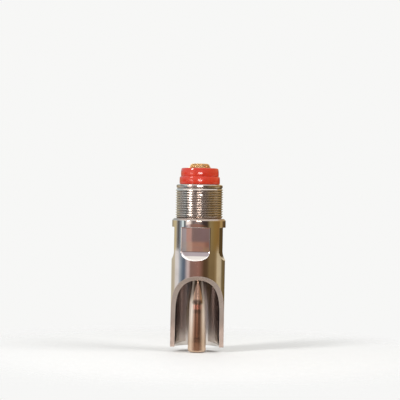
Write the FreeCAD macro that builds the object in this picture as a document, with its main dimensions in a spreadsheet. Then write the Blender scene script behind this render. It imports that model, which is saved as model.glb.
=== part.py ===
import FreeCAD, Part
import Sketcher
import math
import os

# Pig drinker of the bite kind. Millimetres, +Z towards the inlet, mouth towards -Y.
# The origin is the centre of the shoulder that the pipe thread starts from.
# The shapes follow the numbers in the Sizes sheet. Fits are a named size plus a named clearance.

doc = FreeCAD.newDocument("pig_drinker")
V = FreeCAD.Vector
X_DIR = V(1, 0, 0)
Z_DIR = V(0, 0, 1)

SIZES = [
    ("thread_dia", 20.955, "outside of the pipe thread, half inch pipe size"),
    ("thread_len", 15.0, "shoulder to inlet face"),
    ("thread_pitch", 1.07, "turn to turn"),
    ("thread_depth", 0.6, "crest to root"),
    ("thread_crest", 0.14, "flat of the crest"),
    ("thread_root", 0.14, "flat of the root"),
    ("foot_relief", 0.5, "plain groove between the shoulder and the thread"),
    ("lead_len", 1.4, "plain lead at the inlet face"),
    ("lead_step", 0.26, "the lead is smaller than the thread by this all round"),
    ("lead_relief", 0.6, "plain groove between the lead and the thread"),
    ("thread_chamfer", 0.36, "edge of the lead"),
    ("body_dia", 23.7, "outside of the body below the shoulder"),
    ("body_len", 57.0, "shoulder to the end of the spout"),
    ("shoulder_chamfer", 0.8, "edge of the shoulder"),
    ("across_flats", 20.0, "spanner size"),
    ("flat_top", 3.8, "depth of the flats' upper end below the shoulder"),
    ("flat_end", 14.3, "depth where a flat starts to run out"),
    ("cutter_radius", 5.5, "round run-out of the flats"),
    ("flat_turn", 7.8, "turn of the flats from the mouth direction, degrees"),
    ("spout_bore_dia", 19.7, "bore of the spout"),
    ("spout_bore_top", 20.0, "depth where the spout bore ends in its cone"),
    ("drill_half_angle", 59.0, "cone at the end of the spout bore, degrees from the axis"),
    ("mouth_top", 25.2, "depth of the mouth's upper end on the outside"),
    ("mouth_radius", 32.0, "round of the mouth cut, seen from the side"),
    ("rim_chamfer", 0.25, "broken edges at the end of the spout"),
    ("stem_hole_dia", 8.2, "hole in the web for the neck"),
    ("inlet_wall", 1.6775, "thread root to the bore from the inlet to the seat"),
    ("inlet_chamfer", 0.5, "inner edge of the inlet"),
    ("seal_depth", 9.0, "middle of the sealing ring below the shoulder"),
    ("seal_mean_radius", 4.0, "sealing ring, centre of the section"),
    ("seal_section", 2.5, "sealing ring, thickness"),
    ("seal_clearance", 0.08, "ring to seat and ring to ball"),
    ("neck_dia", 4.5, "thin part of the stem"),
    ("cone_start", 27.6, "depth where the stem's cone starts"),
    ("cone_end", 37.3, "depth where the stem's cone ends"),
    ("rod_dia", 7.1, "rod below the cone"),
    ("tip_dia", 8.0, "rod at its tip, slightly wider"),
    ("tip_depth", 59.1, "depth of the tip"),
    ("tip_round", 0.9, "rounded edge of the tip"),
    ("flange_dia", 12.0, "head of the stem"),
    ("flange_rise", 0.9, "underside of the head above the ball's centre"),
    ("flange_thick", 1.9, "thickness of the head"),
    ("spigot_dia", 7.8, "stub that centres the spring"),
    ("spigot_len", 2.0, "length of the stub"),
    ("head_chamfer", 0.3, "broken edges of the head"),
    ("spigot_chamfer", 0.5, "edge of the stub"),
    ("spring_wire", 1.0, "spring wire"),
    ("spring_mean_dia", 9.6, "middle of the coil"),
    ("spring_coils", 4.5, "coils between the closed ends"),
    ("spring_gap", 0.03, "spring to its seats"),
    ("plug_clearance", 0.05, "sleeve in the inlet bore"),
    ("sleeve_len", 8.0, "part of the plug that sits in the inlet bore"),
    ("sleeve_floor", 1.8, "floor that the spring presses on"),
    ("floor_hole_dia", 6.6, "water hole in that floor"),
    ("collar_step", 0.75, "lower red tier, wider than the inlet bore all round"),
    ("collar_height", 3.6, "lower red tier above the inlet face"),
    ("cap_step", 0.55, "upper red tier, narrower than the lower one all round"),
    ("cap_height", 3.7, "upper red tier"),
    ("collar_round", 0.5, "rounded edges of the lower red tier"),
    ("cap_round", 0.7, "rounded upper edge of the red head"),
    ("cap_lip_chamfer", 0.4, "inner upper edge of the red head"),
    ("sleeve_chamfer", 0.6, "lead-in of the sleeve"),
    ("screen_base_dia", 9.7, "strainer where it leaves the cap"),
    ("screen_top_dia", 7.6, "flat top of the strainer"),
    ("screen_rise", 2.0, "strainer above the red head"),
    ("screen_tube_rise", 0.15, "straight part of the strainer above the cap"),
    ("screen_skin", 0.4, "thickness of the gauze"),
    ("screen_flange_dia", 12.6, "rim of the strainer, trapped under the cap"),
    ("screen_clearance", 0.1, "strainer in the cap"),
]

sheet = doc.addObject("Spreadsheet::Sheet", "Sizes")
for row, (name, number, note) in enumerate(SIZES, start=1):
    sheet.set("A%d" % row, name)
    sheet.set("B%d" % row, str(number))
    sheet.set("C%d" % row, note)
    sheet.setAlias("B%d" % row, name)
doc.recompute()


def cell(name):
    """The sheet's cell as it is written in an expression."""
    return "Sizes." + name


def value(text):
    """What an expression of the sheet's cells comes to."""
    return float(sheet.evalExpression(text))


def origin_part(body, role):
    """The body's own origin plane or axis of that role."""
    for feature in body.Origin.OriginFeatures:
        if feature.Role == role:
            return feature
    raise RuntimeError("no origin feature " + role)


def new_body(name):
    """A sub-part made with sketches and features."""
    body = doc.addObject("PartDesign::Body", name)
    body.Label = name
    return body


def new_sketch(body, name, role):
    """A sketch on one of the body's origin planes."""
    sketch = body.newObject("Sketcher::SketchObject", name)
    sketch.AttachmentSupport = [(origin_part(body, role), "")]
    sketch.MapMode = "FlatFace"
    return sketch


def bind(sketch, kind, arguments, text):
    """Adds a dimension to a sketch and ties it to the sheet."""
    number = sketch.addConstraint(Sketcher.Constraint(kind, *arguments, value(text)))
    sketch.setExpression("Constraints[%d]" % number, text)


def pin(sketch, index, end, across, up):
    """Ties one point of a sketch to the sheet. None is a point on that axis."""
    if across is None:
        sketch.addConstraint(Sketcher.Constraint("PointOnObject", index, end, -2))
    else:
        bind(sketch, "DistanceX", (-1, 1, index, end), across)
    if up is None:
        sketch.addConstraint(Sketcher.Constraint("PointOnObject", index, end, -1))
    else:
        bind(sketch, "DistanceY", (-1, 1, index, end), up)


def place(across, up):
    """The point that a pair of expressions stands for."""
    return V(0 if across is None else value(across), 0 if up is None else value(up), 0)


def bulge(start, end, radius, left):
    """The middle of the short arc from start to end, on its left side or on its right side."""
    chord = end - start
    half = chord.Length / 2
    rise = radius - math.sqrt(radius ** 2 - half ** 2)
    side = V(-chord.y, chord.x, 0)
    side.normalize()
    return (start + end) * 0.5 + side * (rise if left else -rise)


def outline(sketch, steps):
    """
    Draws a closed outline. Each step is (across, up) for a straight side that ends there, or
    (across, up, radius, left) for a short arc that ends there and bulges to its left or right.
    """
    count = len(steps)
    ends = []
    for index, step in enumerate(steps):
        start = place(*steps[index - 1][:2])
        end = place(*step[:2])
        if len(step) == 2:
            sketch.addGeometry(Part.LineSegment(start, end), False)
            ends.append((1, 2))
        else:
            middle = bulge(start, end, value(step[2]), step[3])
            sketch.addGeometry(Part.Arc(start, middle, end), False)
            first = sketch.getPoint(index, 1).distanceToPoint(start) < 1e-4
            ends.append((1, 2) if first else (2, 1))
    for index, step in enumerate(steps):
        after = (index + 1) % count
        joint = (index, ends[index][1], after, ends[after][0])
        sketch.addConstraint(Sketcher.Constraint("Coincident", *joint))
    for index, step in enumerate(steps):
        pin(sketch, index, ends[index][1], *step[:2])
        if len(step) == 4:
            bind(sketch, "Radius", (index,), step[2])


def revolved(body, name, steps):
    """A solid of revolution about Z from an outline of radius and height."""
    sketch = new_sketch(body, name + "_sketch", "XZ_Plane")
    outline(sketch, steps)
    feature = body.newObject("PartDesign::Revolution", name)
    feature.Profile = sketch
    feature.ReferenceAxis = (origin_part(body, "Z_Axis"), [""])
    feature.Angle = 360
    sketch.Visibility = False
    doc.recompute()
    return feature


# Expressions that several pieces share
HALF = " / 2"
BODY_R = cell("body_dia") + HALF
THREAD_R = cell("thread_dia") + HALF
SPOUT_R = cell("spout_bore_dia") + HALF
HOLE_R = cell("stem_hole_dia") + HALF
ROOT_R = "(%s - %s)" % (THREAD_R, cell("thread_depth"))
INLET_R = "(%s - %s)" % (ROOT_R, cell("inlet_wall"))
INLET_Z = cell("thread_len")
END_Z = "-" + cell("body_len")
RING_R = cell("seal_mean_radius")
RING_HALF = cell("seal_section") + HALF
SEAL_Z = "-" + cell("seal_depth")
REACH = "(%s + %s)" % (RING_HALF, cell("seal_clearance"))
BALL_R = "(%s * sqrt(2) - %s)" % (RING_R, REACH)
PIVOT_Z = "(%s + %s)" % (SEAL_Z, RING_R)


def seat_height(radius):
    """Height of the 45 degree seat at a radius. The sealing ring rests on it."""
    return "%s + %s - %s - %s * sqrt(2)" % (SEAL_Z, radius, RING_R, REACH)


# Barrel: lead, thread core, shoulder, body, spout bore, web with the seat, inlet bore
barrel = new_body("barrel")
BORE_TOP = "-" + cell("spout_bore_top")
CONE_TOP = "%s + (%s - %s) / tan(%s)" % (BORE_TOP, SPOUT_R, HOLE_R, cell("drill_half_angle"))
LEAD = cell("thread_chamfer")
EDGE = cell("shoulder_chamfer")
INNER = cell("inlet_chamfer")
RIM = cell("rim_chamfer")
RELIEF = cell("foot_relief")
LEAD_R = "(%s - %s)" % (THREAD_R, cell("lead_step"))
LEAD_Z = "(%s - %s)" % (INLET_Z, cell("lead_len"))
THREAD_TOP = "(%s - %s)" % (LEAD_Z, cell("lead_relief"))
revolved(barrel, "barrel_turned", [
    (INLET_R, "%s - %s" % (INLET_Z, INNER)),
    ("%s + %s" % (INLET_R, INNER), INLET_Z),
    ("%s - %s" % (LEAD_R, LEAD), INLET_Z),
    (LEAD_R, "%s - %s" % (INLET_Z, LEAD)),
    (LEAD_R, LEAD_Z),
    (ROOT_R, LEAD_Z),
    (ROOT_R, None),
    ("%s - %s" % (BODY_R, EDGE), None),
    (BODY_R, "-" + EDGE),
    (BODY_R, "%s + %s" % (END_Z, RIM)),
    ("%s - %s" % (BODY_R, RIM), END_Z),
    ("%s + %s" % (SPOUT_R, RIM), END_Z),
    (SPOUT_R, "%s + %s" % (END_Z, RIM)),
    (SPOUT_R, BORE_TOP),
    (HOLE_R, CONE_TOP),
    (HOLE_R, seat_height(HOLE_R)),
    (INLET_R, seat_height(INLET_R))])
turned_volume = barrel.Shape.Volume

# The flats, each with a square upper end and a round run-out at its lower end
FLAT = cell("across_flats") + HALF
CUTTER = cell("cutter_radius")
FLAT_LOW = "-" + cell("flat_end")
OUTSIDE = "(%s + 0.6)" % BODY_R
BITE = "(%s - %s)" % (OUTSIDE, FLAT)
RUN_OUT = "sqrt(%s ^ 2 - (%s - %s) ^ 2)" % (CUTTER, CUTTER, BITE)
flat_sketch = new_sketch(barrel, "flat_sketch", "YZ_Plane")
flat_sketch.AttachmentOffset = FreeCAD.Placement(V(0, 0, 0), FreeCAD.Rotation(V(0, -1, 0), 5))
flat_sketch.setExpression("AttachmentOffset.Rotation.Angle", cell("flat_turn"))
outline(flat_sketch, [
    ("-" + OUTSIDE, "-" + cell("flat_top")),
    ("-%s" % FLAT, "-" + cell("flat_top")),
    ("-%s" % FLAT, FLAT_LOW),
    ("-" + OUTSIDE, "%s - %s" % (FLAT_LOW, RUN_OUT), CUTTER, True)])
flat_cut = barrel.newObject("PartDesign::Pocket", "flat_cut")
flat_cut.Profile = flat_sketch
flat_cut.Midplane = True
flat_cut.setExpression("Length", cell("body_dia"))
doc.recompute()
flats = barrel.newObject("PartDesign::PolarPattern", "wrench_flats")
flats.Originals = [flat_cut]
flats.Axis = (origin_part(barrel, "Z_Axis"), [""])
flats.Angle = 360
flats.Occurrences = 4
barrel.Tip = flats
doc.recompute()
flatted_volume = barrel.Shape.Volume

# The mouth: a round cut that ends level with the axis and goes on straight to the spout's end
ROUND = cell("mouth_radius")
BEYOND = "(%s + 1)" % BODY_R
CUT_RUN = "sqrt(%s ^ 2 - (%s - %s) ^ 2)" % (ROUND, ROUND, BODY_R)
STRAIGHT_Z = "-%s - %s" % (cell("mouth_top"), CUT_RUN)
BEYOND_RUN = "sqrt(%s ^ 2 - (%s - %s) ^ 2)" % (ROUND, ROUND, BEYOND)
mouth_sketch = new_sketch(barrel, "mouth_sketch", "YZ_Plane")
outline(mouth_sketch, [
    (None, "%s - 1" % END_Z),
    (None, STRAIGHT_Z),
    ("-" + BEYOND, "%s + %s" % (STRAIGHT_Z, BEYOND_RUN), ROUND, False),
    ("-" + BEYOND, "%s - 1" % END_Z)])
mouth = barrel.newObject("PartDesign::Pocket", "mouth_cut")
mouth.Profile = mouth_sketch
mouth.Midplane = True
mouth.setExpression("Length", cell("body_dia") + " + 2")
doc.recompute()
barrel.Tip = mouth
mouth_volume = barrel.Shape.Volume

# The thread's blank, between its two reliefs. Its outside is drawn in four arcs, so that each
# stretch of the crest stays a round face of its own, and refining is off to keep them.
blank_sketch = new_sketch(barrel, "blank_sketch", "XY_Plane")
blank_sketch.setExpression("AttachmentOffset.Base.z", RELIEF)
outline(blank_sketch, [
    (THREAD_R, None, THREAD_R, False),
    (None, THREAD_R, THREAD_R, False),
    ("-" + THREAD_R, None, THREAD_R, False),
    (None, "-" + THREAD_R, THREAD_R, False)])
core = blank_sketch.addGeometry(Part.Circle(V(0, 0, 0), Z_DIR, value(INLET_R) + 1), False)
blank_sketch.addConstraint(Sketcher.Constraint("Coincident", core, 3, -1, 1))
bind(blank_sketch, "Radius", (core,), "(%s + %s) / 2" % (INLET_R, ROOT_R))
blank = barrel.newObject("PartDesign::Pad", "thread_blank")
blank.Profile = blank_sketch
blank.setExpression("Length", "%s - %s" % (THREAD_TOP, RELIEF))
blank.Refine = False
doc.recompute()
barrel.Tip = blank
blank_volume = barrel.Shape.Volume

# The thread: one V groove that climbs from the lower relief into the upper one. The groove is
# drawn a little taller than the thread, so that it cuts the crest clean.
PITCH = cell("thread_pitch")
HALF_ROOT = cell("thread_root") + HALF
HALF_TOP = "(%s - %s) / 2" % (PITCH, cell("thread_crest"))
OVER = "0.04"
HALF_OVER = "(%s + (%s - %s) * %s / %s)" % (HALF_TOP, HALF_TOP, HALF_ROOT, OVER, cell("thread_depth"))
GROOVE_Z = "(%s + 0.02)" % HALF_OVER
thread_sketch = new_sketch(barrel, "thread_sketch", "XZ_Plane")
outline(thread_sketch, [
    (ROOT_R, "%s - %s" % (GROOVE_Z, HALF_ROOT)),
    ("%s + %s" % (THREAD_R, OVER), "%s - %s" % (GROOVE_Z, HALF_OVER)),
    ("%s + %s" % (THREAD_R, OVER), "%s + %s" % (GROOVE_Z, HALF_OVER)),
    (ROOT_R, "%s + %s" % (GROOVE_Z, HALF_ROOT))])
thread = barrel.newObject("PartDesign::SubtractiveHelix", "thread_groove")
thread.Profile = thread_sketch
thread.ReferenceAxis = (origin_part(barrel, "Z_Axis"), [""])
thread.Mode = 0
thread.Refine = False
thread.setExpression("Pitch", PITCH)
thread.setExpression("Height", "%s - 2 * %s" % (LEAD_Z, GROOVE_Z))
doc.recompute()
barrel.Tip = thread
if not turned_volume > flatted_volume > mouth_volume:
    raise RuntimeError("a cut in the barrel missed it")
if not blank_volume > max(mouth_volume, barrel.Shape.Volume):
    raise RuntimeError("the thread's blank or its groove is missing")

# Valve stem: spring spigot, head, ball that presses on the ring, neck, cone, rod
stem = new_body("valve_stem")
NECK_R = cell("neck_dia") + HALF
FLANGE_R = cell("flange_dia") + HALF
SPIGOT_R = cell("spigot_dia") + HALF
RISE = cell("flange_rise")
FLANGE_LOW = "%s + %s" % (PIVOT_Z, RISE)
FLANGE_TOP = "%s + %s" % (FLANGE_LOW, cell("flange_thick"))
BREAK = cell("head_chamfer")
SPIGOT_TOP = "%s + %s" % (FLANGE_TOP, cell("spigot_len"))
SPIGOT_EDGE = cell("spigot_chamfer")
TIP_R = cell("tip_dia") + HALF
TIP_Z = "-" + cell("tip_depth")
TIP_ROUND = cell("tip_round")
revolved(stem, "stem_turned", [
    (None, TIP_Z),
    ("%s - %s" % (TIP_R, TIP_ROUND), TIP_Z),
    (TIP_R, "%s + %s" % (TIP_Z, TIP_ROUND), TIP_ROUND, False),
    (cell("rod_dia") + HALF, "-" + cell("cone_end")),
    (NECK_R, "-" + cell("cone_start")),
    (NECK_R, "%s - sqrt(%s ^ 2 - (%s) ^ 2)" % (PIVOT_Z, BALL_R, NECK_R)),
    ("sqrt(%s ^ 2 - %s ^ 2)" % (BALL_R, RISE), FLANGE_LOW, BALL_R, False),
    ("%s - %s" % (FLANGE_R, BREAK), FLANGE_LOW),
    (FLANGE_R, "%s + %s" % (FLANGE_LOW, BREAK)),
    (FLANGE_R, "%s - %s" % (FLANGE_TOP, BREAK)),
    ("%s - %s" % (FLANGE_R, BREAK), FLANGE_TOP),
    (SPIGOT_R, FLANGE_TOP),
    (SPIGOT_R, "%s - %s" % (SPIGOT_TOP, SPIGOT_EDGE)),
    ("%s - %s" % (SPIGOT_R, SPIGOT_EDGE), SPIGOT_TOP),
    (None, SPIGOT_TOP)])

# Sealing ring
seal = new_body("stem_seal")
seal_sketch = new_sketch(seal, "seal_sketch", "XZ_Plane")
seal_sketch.addGeometry(Part.Circle(place(RING_R, SEAL_Z), Z_DIR, value(RING_HALF)), False)
pin(seal_sketch, 0, 3, RING_R, SEAL_Z)
bind(seal_sketch, "Radius", (0,), RING_HALF)
seal_ring = seal.newObject("PartDesign::Revolution", "seal_ring")
seal_ring.Profile = seal_sketch
seal_ring.ReferenceAxis = (origin_part(seal, "Z_Axis"), [""])
seal_ring.Angle = 360
doc.recompute()

# Spring: a closed ring at each end and open coils between, in one piece of wire
COIL_R = cell("spring_mean_dia") + HALF
WIRE_R = cell("spring_wire") + HALF
LOW_Z = "%s + %s + %s" % (FLANGE_TOP, cell("spring_gap"), WIRE_R)
SLEEVE_END = "%s - %s" % (INLET_Z, cell("sleeve_len"))
HIGH_Z = "%s - %s - %s" % (SLEEVE_END, cell("spring_gap"), WIRE_R)
coil_r = value(COIL_R)
wire_r = value(WIRE_R)
low_z = value(LOW_Z)
high_z = value(HIGH_Z)
coil_height = high_z - low_z
coil_path = Part.makeHelix(coil_height / value(cell("spring_coils")), coil_height, coil_r)
coil_path.translate(V(0, 0, low_z))
wire_section = Part.Wire([Part.makeCircle(wire_r, V(coil_r, 0, low_z), V(0, 1, 0))])
coils = Part.Wire(coil_path.Edges).makePipeShell([wire_section], True, True)
foot = Part.makeTorus(coil_r, wire_r * 1.02, V(0, 0, low_z))
head = Part.makeTorus(coil_r, wire_r * 1.02, V(0, 0, high_z))
spring = doc.addObject("Part::Feature", "spring")
spring.Label = "spring"
spring.Shape = coils.fuse([foot, head])

# Plug: collar on the inlet face, sleeve in the inlet bore, floor that the spring presses on
plug = new_body("filter_plug")
SLEEVE_R = "%s - %s" % (INLET_R, cell("plug_clearance"))
SLEEVE_EDGE = cell("sleeve_chamfer")
FLOOR_Z = "%s + %s" % (SLEEVE_END, cell("sleeve_floor"))
COLLAR_R = "%s + %s" % (INLET_R, cell("collar_step"))
COLLAR_TOP = "%s + %s" % (INLET_Z, cell("collar_height"))
WATER_R = cell("floor_hole_dia") + HALF
SKIN = cell("screen_skin")
SCREEN_R = cell("screen_base_dia") + HALF
CUP_R = "%s - %s" % (SCREEN_R, SKIN)
RED = cell("collar_round")
revolved(plug, "plug_moulded", [
    (WATER_R, SLEEVE_END),
    ("%s - %s" % (SLEEVE_R, SLEEVE_EDGE), SLEEVE_END),
    (SLEEVE_R, "%s + %s" % (SLEEVE_END, SLEEVE_EDGE)),
    (SLEEVE_R, INLET_Z),
    ("%s - %s" % (COLLAR_R, RED), INLET_Z),
    (COLLAR_R, "%s + %s" % (INLET_Z, RED), RED, False),
    (COLLAR_R, "%s - %s" % (COLLAR_TOP, RED)),
    ("%s - %s" % (COLLAR_R, RED), COLLAR_TOP, RED, False),
    (CUP_R, COLLAR_TOP),
    (CUP_R, FLOOR_Z),
    (WATER_R, FLOOR_Z)])

# Cap ring: traps the rim of the strainer
cap = new_body("filter_cap")
CAP_R = "%s - %s" % (COLLAR_R, cell("cap_step"))
CAP_TOP = "%s + %s" % (COLLAR_TOP, cell("cap_height"))
FIT = cell("screen_clearance")
ROOF = "%s + %s + %s" % (COLLAR_TOP, SKIN, FIT)
RIM_R = cell("screen_flange_dia") + HALF
CAP_ROUND = cell("cap_round")
LIP = cell("cap_lip_chamfer")
revolved(cap, "cap_moulded", [
    ("%s + %s" % (RIM_R, FIT), COLLAR_TOP),
    (CAP_R, COLLAR_TOP),
    (CAP_R, "%s - %s" % (CAP_TOP, CAP_ROUND)),
    ("%s - %s" % (CAP_R, CAP_ROUND), CAP_TOP, CAP_ROUND, False),
    ("%s + %s + %s" % (SCREEN_R, FIT, LIP), CAP_TOP),
    ("%s + %s" % (SCREEN_R, FIT), "%s - %s" % (CAP_TOP, LIP)),
    ("%s + %s" % (SCREEN_R, FIT), ROOF),
    ("%s + %s" % (RIM_R, FIT), ROOF)])

# Strainer: flat rim, short tube and low dome of gauze
screen = new_body("filter_screen")
SCREEN_TOP = "%s + %s" % (CAP_TOP, cell("screen_rise"))
DOME_R = cell("screen_top_dia") + HALF
TUBE_TOP = "%s + %s" % (CAP_TOP, cell("screen_tube_rise"))
revolved(screen, "screen_formed", [
    (CUP_R, COLLAR_TOP),
    (RIM_R, COLLAR_TOP),
    (RIM_R, "%s + %s" % (COLLAR_TOP, SKIN)),
    (SCREEN_R, "%s + %s" % (COLLAR_TOP, SKIN)),
    (SCREEN_R, TUBE_TOP),
    (DOME_R, SCREEN_TOP),
    (None, SCREEN_TOP),
    (None, "%s - %s" % (SCREEN_TOP, SKIN)),
    ("%s - %s / 2" % (DOME_R, SKIN), "%s - %s" % (SCREEN_TOP, SKIN)),
    (CUP_R, "%s - %s / 2" % (TUBE_TOP, SKIN))])

doc.recompute()
for obj in doc.Objects:
    bad = [state for state in obj.State if state in ("Invalid", "Error")]
    if bad:
        raise RuntimeError("%s is %s" % (obj.Label, bad))
os.makedirs("parts", exist_ok=True)
for piece in (barrel, stem, seal, spring, plug, cap, screen):
    shape = piece.Shape
    if shape.isNull() or not shape.isValid() or len(shape.Solids) != 1:
        raise RuntimeError("%s is not one valid solid" % piece.Label)
    shape.exportStep("parts/%s.step" % piece.Label)
    box = shape.optimalBoundingBox(False, False)
    print("%s volume %.1f x %.2f to %.2f y %.2f to %.2f z %.2f to %.2f" % (
        piece.Label, shape.Volume, box.XMin, box.XMax, box.YMin, box.YMax, box.ZMin, box.ZMax))
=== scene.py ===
import math

import bpy
import numpy as np
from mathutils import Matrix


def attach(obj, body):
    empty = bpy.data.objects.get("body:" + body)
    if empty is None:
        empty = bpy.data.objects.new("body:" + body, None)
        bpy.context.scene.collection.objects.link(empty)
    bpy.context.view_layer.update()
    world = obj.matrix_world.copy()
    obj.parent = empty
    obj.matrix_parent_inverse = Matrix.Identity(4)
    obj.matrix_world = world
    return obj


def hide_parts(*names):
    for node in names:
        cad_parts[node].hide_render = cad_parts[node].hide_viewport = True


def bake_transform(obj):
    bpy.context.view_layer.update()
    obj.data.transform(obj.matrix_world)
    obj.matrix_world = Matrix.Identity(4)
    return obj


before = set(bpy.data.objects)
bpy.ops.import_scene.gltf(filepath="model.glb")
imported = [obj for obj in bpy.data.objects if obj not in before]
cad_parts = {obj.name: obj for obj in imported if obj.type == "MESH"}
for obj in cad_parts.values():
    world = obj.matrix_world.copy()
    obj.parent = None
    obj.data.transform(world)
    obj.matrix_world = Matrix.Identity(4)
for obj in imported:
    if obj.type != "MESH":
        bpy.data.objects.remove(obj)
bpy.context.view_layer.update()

# Pig drinker of the bite kind. Shapes are worked out in millimetres, and +Z is the inlet end.
# Angles round the axis count from the open side of the spout, -Y, towards +X. A profile is a
# row of points, each a radius and a height.

MM = 0.001

# Barrel: inlet, lead-in and thread
INLET_FACE, INLET_R, INLET_CHAMFER = 15.0, 8.2, 0.5
LEAD_R, LEAD_END, LEAD_CHAMFER = 10.2175, 13.6, 0.36
THREAD_R, THREAD_PITCH, THREAD_TURNS, THREAD_DEPTH = 10.4775, 1.07, 11, 0.6
THREAD_ROOT = THREAD_R - THREAD_DEPTH
THREAD_LOW, THREAD_HIGH = 0.5, 13.0
GROOVE_FOOT = 0.5113  # middle of the groove's lowest turn, on the +X side
THREAD_START = GROOVE_FOOT - THREAD_PITCH / 4
# One pitch of the thread: places in shares of the pitch, cuts in shares of the depth
PITCH_AT = (0.0, 0.055, 0.085, 0.17, 0.30, 0.435, 0.50, 0.565, 0.70, 0.83, 0.915, 0.945)
PITCH_CUT = (0.0, 0.0, 0.05, 0.25, 0.62, 0.97, 1.0, 0.97, 0.62, 0.25, 0.05, 0.0)

# Barrel: body and flats. A flat takes up FLAT_HALF degrees to each side of its middle.
BODY_R, BODY_END, SHOULDER_CHAMFER = 11.85, -57.0, 0.8
FLAT_TOP, FLAT_END, FLAT_DISTANCE, FLAT_CUTTER, FLAT_TURN = -3.8, -14.3, 10.0, 5.5, -7.8
FLAT_HALF = math.degrees(math.acos(FLAT_DISTANCE / BODY_R))

# Barrel: spout and mouth. The mouth's round cut ends level with the axis at MOUTH_FOOT.
SPOUT_R, SPOUT_TOP, SPOUT_LEVEL = 9.85, -20.0, -22.0
MOUTH_R, MOUTH_TOP = 32.0, -25.2
MOUTH_FOOT = MOUTH_TOP - math.sqrt(MOUTH_R ** 2 - (MOUTH_R - BODY_R) ** 2)
ARCH_SHARE, CORNER_SHARE = 112.0, 129.0  # columns that end at the arch's foot and the corner, degrees
EDGE_SOFT = 0.16

# Sealing ring, the 45 degree seat under it, and the ball over it. RING_REACH is half the ring's
# thickness with its clearance.
RING_Z, RING_R, RING_REACH = -9.0, 4.0, 1.33
PIVOT = RING_Z + RING_R
BALL_R = RING_R * math.sqrt(2) - RING_REACH
SEAT_RISE = RING_Z - RING_R - RING_REACH * math.sqrt(2)  # height less radius, all over the seat
HOLE_R, DRILL_ANGLE = 4.1, 59.0
HOLE_FOOT = SPOUT_TOP + (SPOUT_R - HOLE_R) / math.tan(math.radians(DRILL_ANGLE))

# Valve stem
TIP_Z, TIP_R, NECK_R, NECK_END = -59.1, 4.0, 2.25, -14.0
CONE_TOP, CONE_FOOT, CONE_FOOT_R, ROD_Z, ROD_R = -27.6, -37.3, 3.55, -48.0, 3.78
HEAD_R, HEAD_LOW, HEAD_HIGH, STUB_R, STUB_TOP = 6.0, -4.1, -2.2, 3.9, -0.2
BALL_RISE = HEAD_LOW - PIVOT

# Spring: middle of the coil, wire, and the middle of the wire at both ends
SPRING_R, SPRING_WIRE_R, SPRING_TURNS, SPRING_LOW, SPRING_HIGH = 4.8, 0.5, 6.5, -1.65, 6.45

# Red plug with its sleeve and collar, and red cap
SLEEVE_R, SLEEVE_FOOT, SLEEVE_FLOOR, FLOOR_HOLE_R = INLET_R - 0.05, 7.0, 8.8, 3.3
PLUG_BORE_R, COLLAR_R, COLLAR_TOP = 4.45, INLET_R + 0.75, 18.6
CAP_R, CAP_TOP, CAP_BORE_R, RECESS_R, RECESS_TOP = COLLAR_R - 0.55, 22.3, 4.95, 6.4, 19.1

# Strainer: the cup's profile from its middle outwards, the cloth, and the rim
CUP = ((0.0, 24.14), (3.3, 24.14), (3.86, 23.86), (4.6, 22.5), (4.7, 22.1), (4.7, 21.2))
MESH_SIZE, GAUZE_WIRE_R = 0.46, 0.1
RIM_R, RIM_WALL_R, RIM_INNER_R, RIM_TOP = 6.3, 4.85, 4.45, 21.6

# Shapes


def softened(corners, size=0.15, steps=3):
    """Rounds a profile's corners. Each inner corner gives way to points on the parabola that
    leaves one side at size before the corner and meets the next side at size after it."""
    corners = np.asarray(corners, float)
    before, corner, after = corners[:-2], corners[1:-1], corners[2:]
    back, ahead = before - corner, after - corner
    reach_back = np.minimum(size, np.linalg.norm(back, axis=1) * 0.45)[:, None]
    reach_ahead = np.minimum(size, np.linalg.norm(ahead, axis=1) * 0.45)[:, None]
    start = corner + back / np.linalg.norm(back, axis=1)[:, None] * reach_back
    end = corner + ahead / np.linalg.norm(ahead, axis=1)[:, None] * reach_ahead
    t = np.linspace(0, 1, steps + 1)[None, :, None]
    curve = (1 - t) ** 2 * start[:, None] + 2 * t * (1 - t) * corner[:, None] + t ** 2 * end[:, None]
    return np.vstack([corners[:1], curve.reshape(-1, corners.shape[1]), corners[-1:]])


def soft_edge(start, corner, end, steps=3):
    """Rows between two rows of points, on the parabolas that bend at the corner row."""
    t = np.linspace(0, 1, steps + 1)[1:-1]
    return [(1 - s) ** 2 * start + 2 * s * (1 - s) * corner + s ** 2 * end for s in t]


def run_along(points):
    """Distance of each point from the first, measured along the line through all of them."""
    return np.concatenate([[0], np.cumsum(np.linalg.norm(np.diff(points, axis=0), axis=1))])


def at(radius, turn, height):
    """Points at a distance from the axis, an angle round it and a height."""
    radius, turn, height = np.broadcast_arrays(radius, turn, height)
    return np.stack([radius * np.sin(turn), -radius * np.cos(turn), height], axis=-1)


def mesh_piece(name, points, faces, **marks):
    """A mesh from points in millimetres. Its faces are turned to point outwards, sharp turns
    stay sharp, and each mark is one number a point, which the materials read by its name."""
    mesh = bpy.data.meshes.new(name)
    points = np.asarray(points, float)
    mesh.from_pydata((points * MM).tolist(), [], faces)
    mesh.update()
    mesh.calc_loop_triangles()
    corners = np.empty(len(mesh.loop_triangles) * 3, np.int32)
    mesh.loop_triangles.foreach_get("vertices", corners)
    a, b, c = points[corners.reshape(-1, 3)].transpose(1, 0, 2)
    if np.einsum("ij,ij->i", a, np.cross(b, c)).sum() < 0:
        mesh.flip_normals()
    mesh.shade_smooth()
    mesh.set_sharp_from_angle(angle=math.radians(34))
    for mark, numbers in marks.items():
        layer = mesh.attributes.new(mark, "FLOAT", "POINT")
        layer.data.foreach_set("value", np.asarray(numbers, np.float32).ravel())
    piece = bpy.data.objects.new(name, mesh)
    bpy.context.scene.collection.objects.link(piece)
    return piece


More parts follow.
